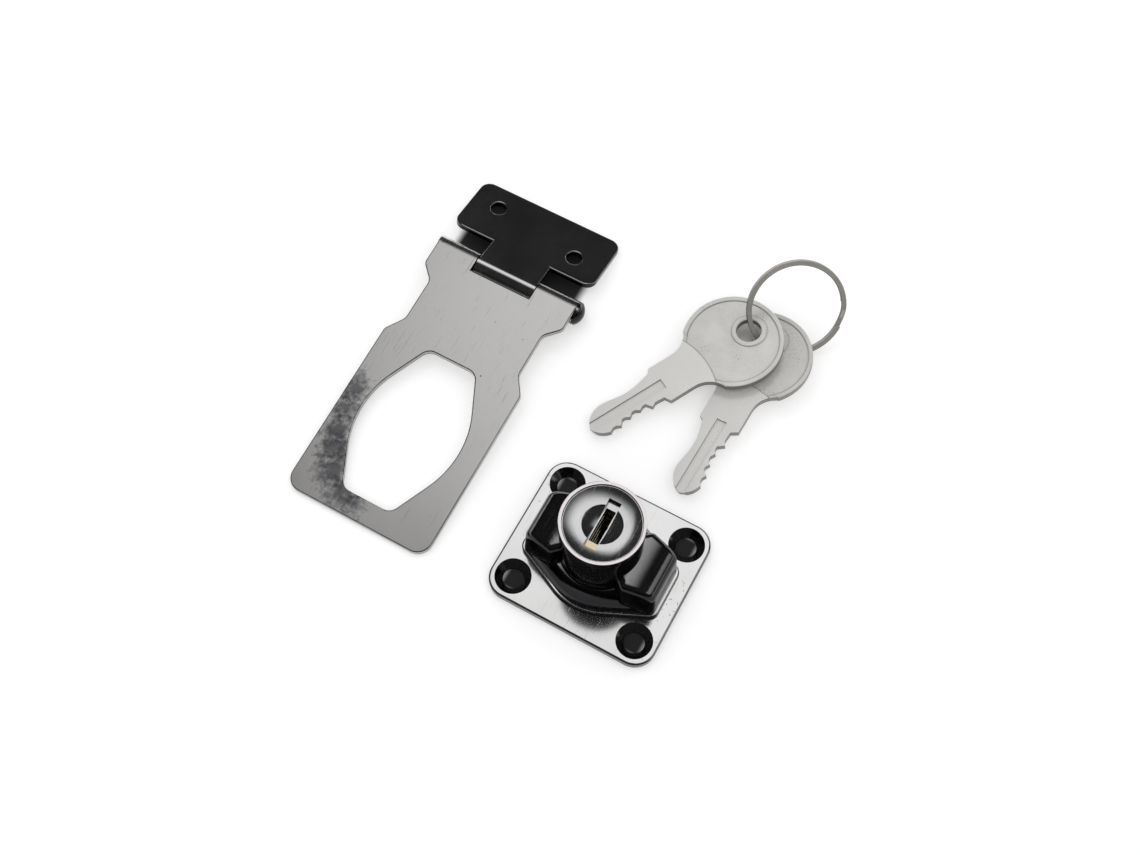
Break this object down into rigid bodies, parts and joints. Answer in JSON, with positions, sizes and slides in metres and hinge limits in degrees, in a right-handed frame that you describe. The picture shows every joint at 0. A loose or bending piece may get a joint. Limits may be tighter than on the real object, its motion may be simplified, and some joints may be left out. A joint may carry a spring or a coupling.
{
  "type": "keyed hasp lock",
  "caption": "Keyed lock with a turning winged knob on a square-cornered base plate, a hinged hasp strap with an eye-shaped opening, and its keys on a split ring.",
  "frame": {"origin": "centre of the base plate's mounting face, which is also the centre of its screw pattern", "axes": "+Z out of the base plate along the cylinder's axis, +X along the plate's long side, +Y along its short side, towards the hinge and the keys"},
  "size_m": [0.0972, 0.1043, 0.0273],
  "materials": {
    "plate_chrome": "mirror polished",
    "knob_chrome": "mirror polished, dark",
    "bezel_chrome": "mirror polished",
    "plug_chrome": "polished, dished face",
    "strap_chrome": "satin with fine scratches",
    "leaf_chrome": "mirror polished, dark",
    "pin_chrome": "polished",
    "wafer_brass": "stamped",
    "spring_steel": "drawn wire",
    "works_steel": "zinc plated",
    "key_nickel": "pale nickel plate, brushed",
    "ring_steel": "nickel plated spring steel"
  },
  "bodies": {
    "mounting": {"base_plate": "plate_chrome", "hinge_leaf": "leaf_chrome", "hinge_pin": "pin_chrome", "split_ring": "ring_steel"},
    "knob": {"knob_body": "knob_chrome", "cylinder_shell": "bezel_chrome", "retaining_plate": "works_steel", "retaining_screws": "works_steel", "cylinder_screws": "works_steel", "thrust_washer": "works_steel", "bolt_spring": "spring_steel"},
    "plug": {"key_plug": "plug_chrome", "lock_cam": "works_steel", "cam_screw": "works_steel", "wafer_spring_1": "spring_steel", "wafer_spring_2": "spring_steel", "wafer_spring_3": "spring_steel", "wafer_spring_4": "spring_steel", "wafer_spring_5": "spring_steel"},
    "bolt": {"locking_bolt": "works_steel"},
    "wafer_1": {"wafer_1": "wafer_brass"},
    "wafer_2": {"wafer_2": "wafer_brass"},
    "wafer_3": {"wafer_3": "wafer_brass"},
    "wafer_4": {"wafer_4": "wafer_brass"},
    "wafer_5": {"wafer_5": "wafer_brass"},
    "strap": {"hasp_strap": "strap_chrome"},
    "key_1": {"key_1": "key_nickel"},
    "key_2": {"key_2": "key_nickel"}
  },
  "joints": [
    {"name": "knob_turn", "type": "hinge", "parent": "mounting", "child": "knob", "pos_m": [0, 0, 0], "axis": [0, 0, 1], "range_deg": [0, 90]},
    {"name": "plug_turn", "type": "hinge", "parent": "knob", "child": "plug", "pos_m": [0, 0, 0], "axis": [0, 0, 1], "range_deg": [0, 90]},
    {"name": "bolt_slide", "type": "slide", "parent": "knob", "child": "bolt", "axis": [1, 0, 0], "range_m": [0, 0.0015], "deforming": ["bolt_spring"]},
    {"name": "wafer_1_slide", "type": "slide", "parent": "plug", "child": "wafer_1", "axis": [0, 1, 0], "range_m": [0, 0.0007], "stiffness_N_per_m": 50},
    {"name": "wafer_2_slide", "type": "slide", "parent": "plug", "child": "wafer_2", "axis": [0, -1, 0], "range_m": [0, 0.0007], "stiffness_N_per_m": 50},
    {"name": "wafer_3_slide", "type": "slide", "parent": "plug", "child": "wafer_3", "axis": [0, 1, 0], "range_m": [0, 0.0007], "stiffness_N_per_m": 50},
    {"name": "wafer_4_slide", "type": "slide", "parent": "plug", "child": "wafer_4", "axis": [0, -1, 0], "range_m": [0, 0.0007], "stiffness_N_per_m": 50},
    {"name": "wafer_5_slide", "type": "slide", "parent": "plug", "child": "wafer_5", "axis": [0, 1, 0], "range_m": [0, 0.0007], "stiffness_N_per_m": 50},
    {"name": "strap_hinge", "type": "hinge", "parent": "mounting", "child": "strap", "pos_m": [-0.0544, 0.0524, 0.003], "axis": [1, 0, 0], "range_deg": [-105, 164]},
    {"name": "key_1_swing", "type": "hinge", "parent": "mounting", "child": "key_1", "pos_m": [0.00448, 0.06641, 0.00597], "axis": [-0.1332, -0.043, 0.9902], "range_deg": [0, 60]},
    {"name": "key_2_swing", "type": "hinge", "parent": "mounting", "child": "key_2", "pos_m": [0.00982, 0.06811, 0.00305], "axis": [-0.1545, -0.0193, 0.9878], "range_deg": [0, 60]}
  ],
  "couplings": [
    {"joint": "plug_turn", "follows": "bolt_slide", "rad_per_m": 1047.2}
  ]
}
